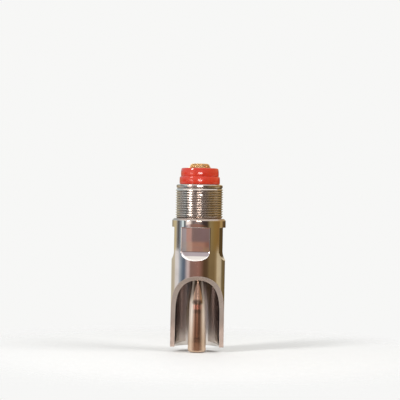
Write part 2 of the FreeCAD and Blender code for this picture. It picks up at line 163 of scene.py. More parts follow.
def even_shading(piece):
    """Lets the large faces keep their own direction where they meet a small rounded edge."""
    shading = piece.modifiers.new("even_shading", "WEIGHTED_NORMAL")
    shading.mode = "FACE_AREA"
    shading.weight = 50
    shading.keep_sharp = True


def grid_faces(rows, columns, first=0, closed_rows=False):
    """Four-sided faces of a grid of points that is stored row by row. The columns close up
    round the piece, and the rows too if closed_rows says so."""
    j = np.arange(rows if closed_rows else rows - 1)[:, None]
    i = np.arange(columns)[None, :]
    below, beside = (j + 1) % rows, (i + 1) % columns
    quads = np.stack(np.broadcast_arrays(j * columns + i, below * columns + i,
                                         below * columns + beside, j * columns + beside), axis=-1)
    return (quads.reshape(-1, 4) + first).tolist()


def turned(name, profile, columns=120, **marks):
    """A turned or moulded piece: a closed profile of radius and height carried once round the
    axis. Where the profile starts and ends on the axis, a fan of faces closes it there. A mark
    is one number for each point of the profile."""
    profile = np.asarray(profile, float)
    turn = np.arange(columns) / columns * math.tau
    on_axis = profile[0, 0] < 1e-6
    for mark, numbers in marks.items():
        numbers = np.asarray(numbers, float)
        inner = np.repeat(numbers[1:-1] if on_axis else numbers, columns)
        marks[mark] = np.append(inner, numbers[[0, -1]]) if on_axis else inner
    if not on_axis:
        points = at(profile[:, :1], turn[None, :], profile[:, 1:]).reshape(-1, 3)
        return mesh_piece(name, points, grid_faces(len(profile), columns, closed_rows=True), **marks)
    rings = profile[1:-1]
    points = at(rings[:, :1], turn[None, :], rings[:, 1:]).reshape(-1, 3)
    first, last = len(points), len(points) + 1
    points = np.vstack([points, [[0, 0, profile[0, 1]], [0, 0, profile[-1, 1]]]])
    faces = grid_faces(len(rings), columns)
    i = np.arange(columns)
    beside = (i + 1) % columns
    base = (len(rings) - 1) * columns
    faces += np.stack([np.full(columns, first), i, beside], axis=-1).tolist()
    faces += np.stack([np.full(columns, last), base + beside, base + i], axis=-1).tolist()
    return mesh_piece(name, points, faces, **marks)


def wire_along(path, radius, sides, first=0):
    """Wire carried along a path, closed at both ends. Each ring of points lies across the path:
    one of its two directions is level, and the other is square to that one and to the path."""
    ahead = np.gradient(path, axis=0)
    ahead /= np.linalg.norm(ahead, axis=1)[:, None]
    side = np.cross(ahead, [0.0, 0.0, 1.0])
    side /= np.maximum(np.linalg.norm(side, axis=1), 1e-9)[:, None]
    up = np.cross(side, ahead)
    t = np.arange(sides) / sides * math.tau
    rings = (path[:, None] + radius * (np.cos(t)[None, :, None] * side[:, None]
                                       + np.sin(t)[None, :, None] * up[:, None]))
    faces = grid_faces(len(path), sides, first=first)
    faces.append(list(range(first, first + sides)))
    faces.append(list(range(first + (len(path) - 1) * sides, first + len(path) * sides))[::-1])
    return rings.reshape(-1, 3), faces


# Barrel

BARREL_MARKS = ("bore", "groove", "milled", "worn", "burr", "level")


class Rows:
    """Rows of points round the barrel, one point a column, with the marks of each point."""

    def __init__(self, turn, marks):
        self.turn = turn
        self.points = []
        self.marks = {name: [] for name in marks}

    def add(self, row, **given):
        """Adds a row of points. A mark that isn't given is nought."""
        self.points.append(np.broadcast_to(row, (len(self.turn), 3)))
        for name, amounts in self.marks.items():
            amounts.append(np.broadcast_to(given.get(name, 0.0), (len(self.turn),)))

    def ring(self, radius, height, **given):
        """Adds a row that keeps to the columns' own angles."""
        self.add(at(radius, self.turn, height), **given)


def column_turns():
    """Angles of the barrel's columns. They fall on the edges of the flats and on the corners
    where the spout's side edges meet its end, and are evenly spread between those."""
    edges = [FLAT_TURN + 90 * k + s * FLAT_HALF for k in (-2, -1, 0, 1, 2) for s in (-1, 1)]
    edges = [e for e in edges if -180 < e < 180]
    edges = np.unique(np.round(edges + [-CORNER_SHARE, 0.0, CORNER_SHARE, -180.0, 180.0], 6))
    spacing = 1.5
    parts = [np.linspace(a, b, max(2, round((b - a) / spacing)) + 1)[:-1]
             for a, b in zip(edges[:-1], edges[1:])]
    return np.radians(np.concatenate(parts))


def add_inlet(rows):
    """Inlet face and the plain lead-in above the thread."""
    profile = softened([(INLET_R + INLET_CHAMFER, INLET_FACE), (LEAD_R - LEAD_CHAMFER, INLET_FACE),
                        (LEAD_R, INLET_FACE - LEAD_CHAMFER), (LEAD_R, LEAD_END),
                        (THREAD_ROOT, LEAD_END), (THREAD_ROOT, LEAD_END - 0.3)], size=0.12)
    for radius, height in profile:
        in_relief = radius < THREAD_ROOT + 0.1 and height < INLET_FACE - 1
        rows.ring(radius, height, groove=0.8 if in_relief else 0.0, milled=0.55)


def add_thread(rows):
    """One pitch's profile repeated down a right-handed helix: a point's height is the start plus
    one pitch for each turn below it, plus the rise at its angle. Near each end the cut grows to
    the full depth of the relief there. Returns the numbers of its first and last row."""
    steps = np.append((np.arange(THREAD_TURNS)[:, None] + PITCH_AT).ravel(), THREAD_TURNS)
    cuts = np.append(np.tile(PITCH_CUT, THREAD_TURNS), 0.0)
    rise = THREAD_PITCH * (rows.turn / math.tau + 0.5)
    fade_top, fade_foot = 0.12, 0.16
    first = len(rows.points)
    for step, cut in zip(steps, cuts):
        height = THREAD_START + THREAD_PITCH * (THREAD_TURNS - step) + rise
        under_top = np.clip((THREAD_HIGH + fade_top / 2 - height) / fade_top, 0, 1)
        over_foot = np.clip((height - THREAD_LOW + fade_foot / 2) / fade_foot, 0, 1)
        share = 1 - (1 - cut) * under_top * over_foot
        rows.ring(THREAD_R - share * THREAD_DEPTH, height, groove=share, worn=1.0)
    return first, len(rows.points) - 1


def add_shoulder(rows):
    """Relief under the thread, shoulder, and the plain band down to the flats."""
    profile = softened([(THREAD_ROOT, 0.16), (THREAD_ROOT, 0.0), (BODY_R - SHOULDER_CHAMFER, 0.0),
                        (BODY_R, -SHOULDER_CHAMFER), (BODY_R, FLAT_TOP + 0.1)], size=0.13)
    for radius, height in profile:
        rows.ring(radius, height, groove=0.7 if radius < THREAD_ROOT + 0.1 else 0.0,
                  milled=1.0 if height > 0.05 - SHOULDER_CHAMFER else 0.0)


def add_flats(rows):
    """Four flats: a step at the top, a face at one distance from the axis, and the
    run-out of a round cutter, which stands cutter - sqrt(cutter^2 - down^2) off the flat at each depth
    and reaches the body at a depth that makes its end an arc. A painted highlight follows that arc and
    is wider to one side, and the corner under the step carries painted shade."""
    quarter, half = math.pi / 2, math.radians(FLAT_HALF)
    off = (rows.turn - math.radians(FLAT_TURN) + quarter / 2) % quarter - quarter / 2
    on_flat = np.abs(off) < half - 1e-9
    flat_r = np.where(on_flat, FLAT_DISTANCE / np.cos(off), BODY_R)
    bite = (BODY_R - flat_r) / (BODY_R - FLAT_DISTANCE)
    # The groove mark at the step's corner is painted shade.
    soft, corner_shade = 0.07, 0.4
    rows.ring(BODY_R - bite * soft, FLAT_TOP - 0.02)
    rows.ring(flat_r + bite * soft, FLAT_TOP - 0.06, groove=bite * corner_shade)
    rows.ring(flat_r, FLAT_TOP - 0.14, groove=bite * corner_shade, level=on_flat)
    for height in np.linspace(FLAT_TOP - 0.5, FLAT_END, 6):
        rows.ring(flat_r, height, level=on_flat)

    lift = np.where(on_flat, BODY_R * np.cos(off) - FLAT_DISTANCE, 0)
    arc = np.sqrt(np.maximum(FLAT_CUTTER ** 2 - (FLAT_CUTTER - lift) ** 2, 0))
    least_drop, burr_lift = 0.57, 0.3
    drop = np.maximum(least_drop, arc)
    # A painted highlight along the run-out's arc, wider to one side.
    burr_width = 0.4 + 1.1 * np.clip(-1.4 * off / half - 0.3, 0, 1)
    for share in np.linspace(0, 1, 19)[1:]:
        down = share * drop
        stand = FLAT_CUTTER - np.sqrt(FLAT_CUTTER ** 2 - np.minimum(down, FLAT_CUTTER - 0.1) ** 2)
        radius = np.where(on_flat, (FLAT_DISTANCE + stand) / np.cos(off), BODY_R)
        burr = np.clip(1.2 - drop * (1 - share) / burr_width, 0, 1) * np.clip(lift / burr_lift, 0, 1)
        rows.ring(np.minimum(BODY_R, radius), FLAT_END - down, burr=burr)
    foot = FLAT_END - drop
    for share in (0.01, 0.12, 0.5, 1.0):
        rows.ring(BODY_R, foot + share * (SPOUT_LEVEL - foot))


def mouth_height(depth):
    """Height of the mouth's round cut where it is a given depth in front of the axis."""
    depth = np.maximum(depth, 0)
    return MOUTH_FOOT + np.sqrt(np.maximum(2 * MOUTH_R * depth - depth ** 2, 0))


def spout_end(turn):
    """Where each column of the spout ends: its angle, its height beside or behind the axis, and
    whether it ends on the arch. Columns up to ARCH_SHARE share out the arch by its length, those
    up to CORNER_SHARE the straight side edge, and the rest the back half of the spout's end."""
    away = np.abs(np.degrees(turn))
    arch_turn = np.radians(90 * (1 - (1 - np.linspace(0, 1, 600)) ** 2))
    run = run_along(np.stack([BODY_R * arch_turn, mouth_height(BODY_R * np.cos(arch_turn))], axis=-1))
    share = np.clip(away / ARCH_SHARE, 0, 1)
    end_turn = np.interp(share * run[-1], run, arch_turn)
    down = np.clip((away - ARCH_SHARE) / (CORNER_SHARE - ARCH_SHARE), 0, 1)
    low = MOUTH_FOOT + (BODY_END - MOUTH_FOOT) * down
    back = np.clip((away - CORNER_SHARE) / (180 - CORNER_SHARE), 0, 1)
    end_turn = end_turn + back * math.pi / 2
    return np.sign(turn) * end_turn, low, away < ARCH_SHARE


def add_spout(rows):
    """The spout: its columns run from a level ring to their places on the mouth's edge, over the
    edge, and up the inside to a level ring again. They move in equal shares of angle and height."""
    turn = rows.turn
    end_turn, low, on_arch = spout_end(turn)

    def edge(radius):
        """Height of the mouth's edge and of the spout's end at one radius."""
        return np.where(on_arch, mouth_height(radius * np.cos(end_turn)), low)

    def wall(radius, top, shares):
        """Rows between a level ring and the edge. They stop short of it by its softening."""
        foot = edge(radius)
        span = np.hypot(radius * (end_turn - turn), foot - top)
        parts = [share * (1 - EDGE_SOFT / span) for share in shares]
        return [at(radius, turn + (end_turn - turn) * part, top + (foot - top) * part)
                for part in parts]

    outer = wall(BODY_R, SPOUT_LEVEL, np.append(np.linspace(0, 1, 32)[1:-1] ** 0.9, 1.0))
    inner = wall(SPOUT_R, SPOUT_TOP, np.append(np.linspace(0, 1, 28)[:-1] ** 0.9, 1.0)[::-1])
    rim = [at(radius, end_turn, edge(radius))
           for radius in np.linspace(BODY_R - EDGE_SOFT, SPOUT_R + EDGE_SOFT, 7)]
    for row in outer:
        rows.add(row)
    # The spout's edge is milled, and its groove mark makes it darker towards the spout's foot.
    for row in soft_edge(outer[-1], at(BODY_R, end_turn, edge(BODY_R)), rim[0]) + rim:
        rows.add(row, milled=1.0, groove=0.85 * np.clip((-39 - row[:, 2]) / 11, 0, 1))
    # The inner soft edge carries a little of the bore's painted shade.
    for row in soft_edge(rim[-1], at(SPOUT_R, end_turn, edge(SPOUT_R)), inner[0]):
        rows.add(row, bore=0.3, milled=0.6)
    # Painted shade inside the spout: a tenth of it at the spout's foot, where it stands in for a painted
    # reflection, growing to all of it higher up.
    for row in inner[:-1]:
        rows.add(row, bore=0.1 + 0.9 * np.clip((row[:, 2] - BODY_END - 1) / 8.0, 0, 1))


def add_bores(rows):
    """Cone of the spout bore, hole for the neck, 45 degree seat, and bore of the inlet."""
    seat = [(radius, radius + SEAT_RISE) for radius in (HOLE_R, 6.1, INLET_R)]
    profile = softened([(SPOUT_R, SPOUT_TOP), (6.9, -18.22), (HOLE_R, HOLE_FOOT), (HOLE_R, -13.6),
                        *seat, (INLET_R, 4.0), (INLET_R, INLET_FACE - INLET_CHAMFER),
                        (INLET_R + INLET_CHAMFER, INLET_FACE)], size=0.1)
    # The bores above carry the full painted shade.
    for radius, height in profile[:-1]:
        rows.ring(radius, height, bore=1.0)


def barrel_faces(total, count, thread_first, thread_last):
    """Faces of the barrel's closed grid of rows and columns. At the thread's seam a row meets the
    row one pitch further up, and a fan of triangles closes the thread's first and last pitch."""
    per_turn = len(PITCH_AT)
    j, i = np.meshgrid(np.arange(total), np.arange(count), indexing="ij")
    below, beside = (j + 1) % total, (i + 1) % count
    seam = (j >= thread_first) & (j < thread_last) & (i == count - 1)
    shift = np.where(seam, per_turn, 0)
    keep = ~(seam & (j - per_turn < thread_first))
    quads = np.stack([j * count + i, below * count + i,
                      (below - shift) * count + beside, (j - shift) * count + beside], axis=-1)
    last = count - 1
    top = thread_first + np.arange(per_turn)
    top_fan = np.stack([np.full(per_turn, thread_first * count), top * count + last,
                        (top + 1) * count + last], axis=-1)
    foot = thread_last - per_turn + np.arange(per_turn)
    foot_fan = np.stack([np.full(per_turn, thread_last * count + last), (foot + 1) * count,
                         foot * count], axis=-1)
    return quads[keep].tolist() + top_fan.tolist() + foot_fan.tolist()


def barrel():
    """The barrel, one closed grid. Its columns go round the axis, and its rows go from the inlet
    face down the outside, over the spout's edge and back up through the bores."""
    rows = Rows(column_turns(), BARREL_MARKS)
    add_inlet(rows)
    thread_first, thread_last = add_thread(rows)
    add_shoulder(rows)
    add_flats(rows)
    add_spout(rows)
    add_bores(rows)
    faces = barrel_faces(len(rows.points), len(rows.turn), thread_first, thread_last)
    marks = {name: np.concatenate(amounts) for name, amounts in rows.marks.items()}
    return mesh_piece("steel_barrel", np.concatenate(rows.points), faces, **marks)


steel_barrel = barrel()
even_shading(steel_barrel)

# Valve stem


def stem_profile():
    """Profile of the stem from the centre of its tip up to the top of its stub: rod, cone, neck,
    the part of a ball that presses on the ring, head, stub. The rod and the cone are straight
    between their named ends. Their other points carry the bands of painted reflection that change along
    them."""
    tip = softened([(0, TIP_Z), (2.6, TIP_Z), (3.55, -58.95), (TIP_R, -58.2), (3.99, -57.2),
                    (3.94, -55.0), (3.926, -54.4), (3.885, -52.6), (3.871, -52.0),
                    (ROD_R, ROD_Z), (3.694, -44.0)], size=0.35)
    up = np.array([-42.0, -41.5, -40.4, -40.0, -39.7, -38.3, -37.9, -37.5, CONE_FOOT, -36.9, -36.4,
                   -35.9, -35.4, -34.8, -30.0, CONE_TOP, -27.3])
    radius = np.interp(-up, [-CONE_TOP, -CONE_FOOT, -ROD_Z], [NECK_R, CONE_FOOT_R, ROD_R])
    cone = softened(np.stack([radius, up], axis=-1), size=0.02)
    low = math.sqrt(BALL_R ** 2 - NECK_R ** 2)
    high_r = math.sqrt(BALL_R ** 2 - BALL_RISE ** 2)
    angle = np.linspace(math.atan2(-low, NECK_R), math.atan2(BALL_RISE, high_r), 9)
    bowl = np.stack([BALL_R * np.cos(angle), PIVOT + BALL_R * np.sin(angle)], axis=-1)
    edge, stub_edge = 0.25, 0.4
    head = softened([(high_r, HEAD_LOW), (HEAD_R - edge, HEAD_LOW), (HEAD_R, HEAD_LOW + edge),
                     (HEAD_R, HEAD_HIGH - edge), (HEAD_R - edge, HEAD_HIGH),
                     (STUB_R + 0.05, HEAD_HIGH), (STUB_R, STUB_TOP - stub_edge),
                     (STUB_R - stub_edge, STUB_TOP), (0, STUB_TOP)], size=0.1)
    return np.vstack([tip, cone, [(NECK_R, NECK_END)], bowl, head[1:]])


def band(heights, low, full_low, full_high, high, amount=1.0):
    """A mark that grows from nought at low to its amount between the two full heights and falls
    to nought again at high."""
    return np.interp(heights, [low, full_low, full_high, high], [0.0, amount, amount, 0.0])


stem_points = stem_profile()
heights = stem_points[:, 1]
# The ring marks are dark rings of painted reflection, and the warm band is a painted reflection; the low
# mark darkens the rod's foot.
steel_stem = turned(
    "steel_stem", stem_points, columns=128,
    ring=(band(heights, -55.0, -54.4, -52.6, -52.0, 0.5) + band(heights, -41.9, -41.5, -40.4, -40.0, 0.8)
          + band(heights, -38.0, -37.5, -36.4, -35.4)),
    glow=band(heights, -40.2, -39.7, -38.3, -37.9),
    rod=np.interp(heights, [CONE_FOOT - 0.3, CONE_FOOT], [1.0, 0.0]),
    low=np.interp(heights, [-54.0, -43.0], [1.0, 0.0]))
even_shading(steel_stem)

# Spring


def spring_wire():
    """The spring: a coil whose height follows the angle, flat for one turn at each end. Between
    those the height's share is 3 t^2 - 2 t^3, so that the climb starts and ends softly."""
    t = np.linspace(0, 1, 460)
    climb = np.clip((t * SPRING_TURNS - 1) / (SPRING_TURNS - 2), 0, 1)
    climb = climb * climb * (3 - 2 * climb)
    path = at(SPRING_R, t * SPRING_TURNS * math.tau, SPRING_LOW + climb * (SPRING_HIGH - SPRING_LOW))
    points, faces = wire_along(path, SPRING_WIRE_R, sides=12)
    return mesh_piece("coil_spring", points, faces)


coil_spring = spring_wire()

# Red plug and cap


def bulged(radius, low, high, crest, bulge):
    """Points up a moulded wall that stands out most at the crest's height, as a parabola."""
    return [(radius - bulge * ((height - crest) / (high - low) * 2) ** 2, height)
            for height in np.linspace(low, high, 9)]


def moulded(name, corners):
    """A moulded ring with softened edges. Its profile's last corner is the first one again."""
    piece = turned(name, softened(corners, size=0.16)[:-1], columns=144)
    even_shading(piece)
    return piece


red_plug = moulded("red_plug", [
    (FLOOR_HOLE_R, SLEEVE_FLOOR), (FLOOR_HOLE_R, SLEEVE_FOOT), (SLEEVE_R - 0.6, SLEEVE_FOOT),
    (SLEEVE_R, SLEEVE_FOOT + 0.6), (SLEEVE_R, 11.0), (SLEEVE_R, INLET_FACE),
    (COLLAR_R - 0.45, INLET_FACE),
    *bulged(COLLAR_R, INLET_FACE + 0.3, COLLAR_TOP - 0.3, crest=16.6, bulge=0.09),
    (COLLAR_R - 0.45, COLLAR_TOP), (PLUG_BORE_R, COLLAR_TOP), (PLUG_BORE_R, SLEEVE_FLOOR),
    (FLOOR_HOLE_R, SLEEVE_FLOOR)])

red_cap = moulded("red_cap", [
    (RECESS_R, RECESS_TOP), (RECESS_R, COLLAR_TOP), (CAP_R - 0.2, COLLAR_TOP),
    *bulged(CAP_R, COLLAR_TOP + 0.1, CAP_TOP - 0.5, crest=19.7, bulge=0.11),
    (CAP_R - 0.34, CAP_TOP - 0.15), (CAP_R - 0.8, CAP_TOP), (CAP_BORE_R + 0.45, CAP_TOP),
    (CAP_BORE_R, CAP_TOP - 0.4), (CAP_BORE_R, RECESS_TOP), (RECESS_R, RECESS_TOP)])

# Strainer


def gauze():
    """Woven wire cloth drawn to a cup. In the flat cloth the wires are straight lines one mesh
    apart. A point of the flat cloth keeps its direction from the centre, and its distance from
    the centre becomes a distance along the cup's profile. The wire goes over and under the cup's
    surface as a cosine along its length."""
    curve = softened(CUP, size=0.45, steps=6)
    length = run_along(curve)
    slope = np.gradient(curve, length, axis=0)
    points, faces = [], []
    first = 0
    lines = np.arange(-13, 14) * MESH_SIZE
    for crosswise in (0, 1):
        for number, line in enumerate(lines):
            half = math.sqrt(max(length[-1] ** 2 - line ** 2, 0))
            if half < 1.0:
                continue
            along = np.linspace(-half, half, max(12, int(half / MESH_SIZE * 8)))
            flat = np.stack([along, np.full_like(along, line)], axis=-1)
            if crosswise:
                flat = flat[:, ::-1]
            run = np.linalg.norm(flat, axis=1)
            toward = flat / np.maximum(run, 1e-9)[:, None]
            radius, height, outward, upward = (np.interp(run, length, column) for column in
                                               (*curve.T, *slope.T))
            over = GAUZE_WIRE_R * 0.9 * np.cos(math.pi * along / MESH_SIZE)
            over *= 1 if (number + crosswise) % 2 else -1
            spread = (radius - upward * over)[:, None] * toward
            path = np.concatenate([spread, (height + outward * over)[:, None]], axis=1)
            ring, face = wire_along(path, GAUZE_WIRE_R, sides=6, first=first)
            points.append(ring)
            faces += face
            first += len(ring)
    return mesh_piece("strainer_gauze", np.concatenate(points), faces)


strainer_gauze = gauze()
rim_profile = softened([(RIM_INNER_R, RIM_TOP), (RIM_INNER_R, COLLAR_TOP + 0.02),
                        (RIM_R, COLLAR_TOP + 0.02), (RIM_R, 19.0), (RIM_WALL_R, 19.0),
                        (RIM_WALL_R, RIM_TOP), (RIM_INNER_R, RIM_TOP)], size=0.08)[:-1]
strainer_rim = turned("strainer_rim", rim_profile, columns=96)

# Materials


class Nodes:
    """A node tree. Each call adds a node, and a value that is a socket is linked to it."""

    def __init__(self, tree):
        self.tree = tree
        self.tree.nodes.clear()

    def put(self, socket, given):
        """Links a socket to the given one, or sets it to the given value."""
        if isinstance(given, bpy.types.NodeSocket):
            self.tree.links.new(given, socket)
        else:
            socket.default_value = given

    def add(self, kind, values=None, **settings):
        """A node of one kind, with values for its sockets and settings of its own."""
        node = self.tree.nodes.new(kind)
        for key, setting in settings.items():
            setattr(node, key, setting)
        for key, given in (values or {}).items():
            self.put(node.inputs[key], given)
        return node

    def range(self, value, low, high, to_low=0.0, to_high=1.0, **settings):
        """What goes from to_low to to_high as the value goes from low to high."""
        return self.add("ShaderNodeMapRange", {"Value": value, "From Min": low, "From Max": high,
                                               "To Min": to_low, "To Max": to_high},
                        **settings).outputs["Result"]

    def blend(self, share, first, second, kind="MIX"):
        """Two colours mixed: the first where the share is none, the second where it is all."""
        node = self.add("ShaderNodeMix", data_type="RGBA", blend_type=kind)
        for number, given in ((0, share), (6, first), (7, second)):
            self.put(node.inputs[number], given)
        return node.outputs[2]

    def math(self, kind, *values):
        return self.add("ShaderNodeMath", dict(enumerate(values)), operation=kind).outputs[0]

    def plus(self, first, second):
        return self.math("ADD", first, second)

    def times(self, first, second):
        return self.math("MULTIPLY", first, second)


class Finish(Nodes):
    """The nodes of one material, on the piece's own coordinates."""

    def __init__(self, name):
        self.material = bpy.data.materials.new(name)
        self.material.use_nodes = True
        super().__init__(self.material.node_tree)
        self.place = self.add("ShaderNodeTexCoord").outputs["Object"]

    def noise(self, scale, detail, stretch=(1, 1, 1), rough=0.55):
        """Noise, finer along an axis with a greater stretch."""
        spread = self.add("ShaderNodeMapping", {"Vector": self.place, "Scale": stretch}).outputs[0]
        return self.add("ShaderNodeTexNoise", {"Vector": spread, "Scale": scale, "Detail": detail,
                                               "Roughness": rough}).outputs["Fac"]

    def mark(self, name):
        """A mark that the piece's mesh carries."""
        return self.add("ShaderNodeAttribute", attribute_name=name).outputs["Fac"]

    def bump(self, height, distance, strength=1.0, under=None):
        """A relief of a height in metres, on top of the relief under it."""
        values = {"Height": height, "Distance": distance, "Strength": strength}
        if under is not None:
            values["Normal"] = under
        return self.add("ShaderNodeBump", values).outputs["Normal"]

    def finish(self, **values):
        """The material, with a shader that has these values. A _ stands for a blank."""
        shader = self.add("ShaderNodeBsdfPrincipled",
                          {key.replace("_", " "): given for key, given in values.items()})
        self.add("ShaderNodeOutputMaterial", {"Surface": shader.outputs[0]})
        return self.material


def polish(mix, colour, shade, gloss):
    """Polished steel's colour and roughness: soft clouds, and light scratches along the axis."""
    clouds = mix.noise(scale=130, detail=3)
    scratches = mix.noise(scale=500, detail=4, stretch=(6.0, 6.0, 0.5), rough=0.7)
    tint = mix.blend(mix.range(clouds, 0.35, 0.68), colour, shade)
    rough = mix.range(clouds, 0.3, 0.7, gloss, gloss + 0.03)
    return tint, mix.plus(rough, mix.range(scratches, 0.62, 0.8, 0, 0.06))


def turning_rings(mix):
    """The rings that turning leaves round the axis: the coarse ones and the fine ones."""
    return [mix.noise(scale=scale, detail=2, stretch=(0.02, 0.02, 5.0)) for scale in (900, 1700)]


def barrel_steel():
    """Polished steel with painted shade in the bore, lighter towards the spout's foot, grey-brown milled
    edges, grime in the grooves, painted shade in the corner under the flats' step, the spout's edge
    darker towards its foot, a painted highlight on the flats' run-out arcs, and worn dents on the
    thread. The flats are ground, without the rings of turning."""
    mix = Finish("polished_steel")
    tint, rough = polish(mix, (0.67, 0.62, 0.575, 1), (0.6, 0.55, 0.505, 1), gloss=0.02)
    bore, groove, milled, burr = (mix.mark(name) for name in ("bore", "groove", "milled", "burr"))
    stains = mix.noise(scale=420, detail=4)
    # Grime in the grooves, painted shade in the corner under the flats' step, and the spout's edge
    # darker towards its foot.
    grime_and_shade = mix.times(mix.range(groove, 0.15, 1, 0, 0.72), mix.range(stains, 0.3, 0.6, 0.6, 1))
    # The bore's darker colour below is painted shade.
    for share, colour in ((mix.range(bore, 0, 1, 0, 0.9), (0.33, 0.29, 0.275, 1)),
                          (mix.range(milled, 0, 1, 0, 0.85), (0.335, 0.26, 0.22, 1)),
                          (grime_and_shade, (0.16, 0.12, 0.095, 1)),
                          # A pale, rough band: the painted highlight on the run-out arcs.
                          (burr, (0.94, 0.91, 0.88, 1))):
        tint = mix.blend(share, tint, colour)
    for mark, more in ((bore, 0.17), (groove, 0.16), (milled, 0.24), (burr, 0.42)):
        rough = mix.plus(rough, mix.times(mark, more))
    turned_share = mix.math("SUBTRACT", 1.0, mix.mark("level"))
    rings, fine = (mix.times(ring, turned_share) for ring in turning_rings(mix))
    rough = mix.times(rough, mix.range(turned_share, 0, 1, 0.4, 1))
    dents = mix.times(mix.noise(scale=620, detail=0.5), mix.mark("worn"))
    ring_depth = 0.0005 * MM
    normal = mix.bump(dents, 0.025 * MM, under=mix.bump(rings, ring_depth))
    normal = mix.bump(fine, ring_depth / 2, under=normal)
    return mix.finish(Base_Color=tint, Metallic=1.0, Roughness=rough, Normal=normal)


def rod_steel():
    """Polished steel of the stem, with painted reflections. Its middle, as it is seen, is painted brown
    with a warm band and dark rings, and it grows pale and dull to both sides, a painted sheen that
    follows the angle of view. The rod's foot is darker than the rest."""
    mix = Finish("stem_steel")
    tint, rough = polish(mix, (0.74, 0.66, 0.58, 1), (0.64, 0.56, 0.49, 1), gloss=0.09)
    rod = mix.mark("rod")
    # Painted reflection by the angle of view: where the sides are seen at a slant they turn pale,
    # rougher and less metallic.
    facing = mix.add("ShaderNodeLayerWeight", {"Blend": 0.5}).outputs["Facing"]
    cone_side, rod_side = mix.range(facing, 0.13, 0.34), mix.range(facing, 0.035, 0.27)
    side = mix.range(rod, 0, 1, cone_side, rod_side)
    # The middle's brown tone is a painted reflection of dark surroundings.
    toned = mix.blend(rod, (0.54, 0.39, 0.305, 1), (0.39, 0.25, 0.185, 1))
    middle = mix.blend(1.0, tint, toned, "MULTIPLY")
    # A painted warm band and dark painted rings, reflections round the middle.
    middle = mix.blend(mix.mark("glow"), middle, (0.42, 0.19, 0.135, 1))
    middle = mix.blend(mix.range(mix.mark("ring"), 0, 1, 0, 0.9), middle, (0.08, 0.05, 0.035, 1))
    # The pale colour of the sides is a painted reflection.
    pale = mix.blend(rod, (0.90, 0.77, 0.65, 1), (0.80, 0.685, 0.58, 1))
    foot = mix.blend(mix.mark("low"), (1, 1, 1, 1), (0.72, 0.62, 0.53, 1))
    tint = mix.blend(1.0, mix.blend(side, middle, pale), foot, "MULTIPLY")
    rough = mix.plus(rough, mix.times(side, 0.34))
    rings, fine = turning_rings(mix)
    ring_depth = 0.0016 * MM
    normal = mix.bump(fine, ring_depth / 2, under=mix.bump(rings, ring_depth))
    return mix.finish(Base_Color=tint, Metallic=mix.range(side, 0, 1, 0.82, 0.5), Roughness=rough,
                      Normal=normal)


def red_plastic():
    """Moulded red plastic: gloss, a faint orange-peel skin, slightly uneven colour."""
    mix = Finish("red_plastic")
    clouds = mix.noise(scale=160, detail=2)
    peel = mix.noise(scale=1500, detail=2)
    tint = mix.blend(mix.range(clouds, 0.3, 0.7), (0.55, 0.043, 0.018, 1), (0.46, 0.028, 0.012, 1))
    return mix.finish(Base_Color=tint, Roughness=mix.range(peel, 0.3, 0.7, 0.11, 0.17),
                      Normal=mix.bump(peel, 0.004 * MM, strength=0.6), IOR=1.49,
                      Subsurface_Weight=0.12, Subsurface_Radius=(1.0, 0.25, 0.12),
                      Subsurface_Scale=1.2 * MM)


def drawn_wire(name, colour, shade, gloss):
    """Drawn wire: small spots, darker and rougher than the wire between them."""
    mix = Finish(name)
    spots = mix.noise(scale=900, detail=4)
    tint = mix.blend(mix.range(spots, 0.42, 0.66), colour, shade)
    return mix.finish(Base_Color=tint, Metallic=1.0, Normal=mix.bump(spots, 0.004 * MM),
                      Roughness=mix.range(spots, 0.3, 0.7, gloss, gloss + 0.15))


def black_rubber():
    """Moulded rubber: matt, faintly grained."""
    mix = Finish("seal_rubber")
    grain = mix.noise(scale=2500, detail=3)
    tint = mix.blend(grain, (0.022, 0.022, 0.024, 1), (0.045, 0.043, 0.042, 1))
    return mix.finish(Base_Color=tint, Roughness=mix.range(grain, 0.3, 0.7, 0.5, 0.7),
                      Normal=mix.bump(grain, 0.01 * MM))


def dress(piece, material, body, *nodes, slot):
    """Gives a piece its material and its body, and hides the CAD parts that it stands for."""
    piece.data.materials.clear()
    piece.data.materials.append(material)
    if body:
        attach(piece, body)
    if nodes:
        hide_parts(*nodes)


red = red_plastic()
spring_steel = drawn_wire("spring_wire", (0.6, 0.6, 0.6, 1), (0.42, 0.41, 0.4, 1), gloss=0.22)
gauze_wire = drawn_wire("gauze_wire", (0.82, 0.54, 0.25, 1), (0.54, 0.33, 0.13, 1), gloss=0.28)

dress(steel_barrel, barrel_steel(), "housing", "barrel", slot="stainless")
dress(steel_stem, rod_steel(), "stem", "valve_stem", slot="stem_steel")
dress(red_plug, red, "housing", "filter_plug", slot="red_plastic")
dress(red_cap, red, "housing", "filter_cap", slot="red_plastic")
dress(strainer_gauze, gauze_wire, "housing", "filter_screen", slot="gauze")
dress(strainer_rim, gauze_wire, "housing", slot="gauze")
dress(coil_spring, spring_steel, None, "spring", slot="spring_steel")
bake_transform(coil_spring)
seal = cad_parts["stem_seal"]
seal.data.materials.clear()
seal.data.materials.append(black_rubber())

# Floor


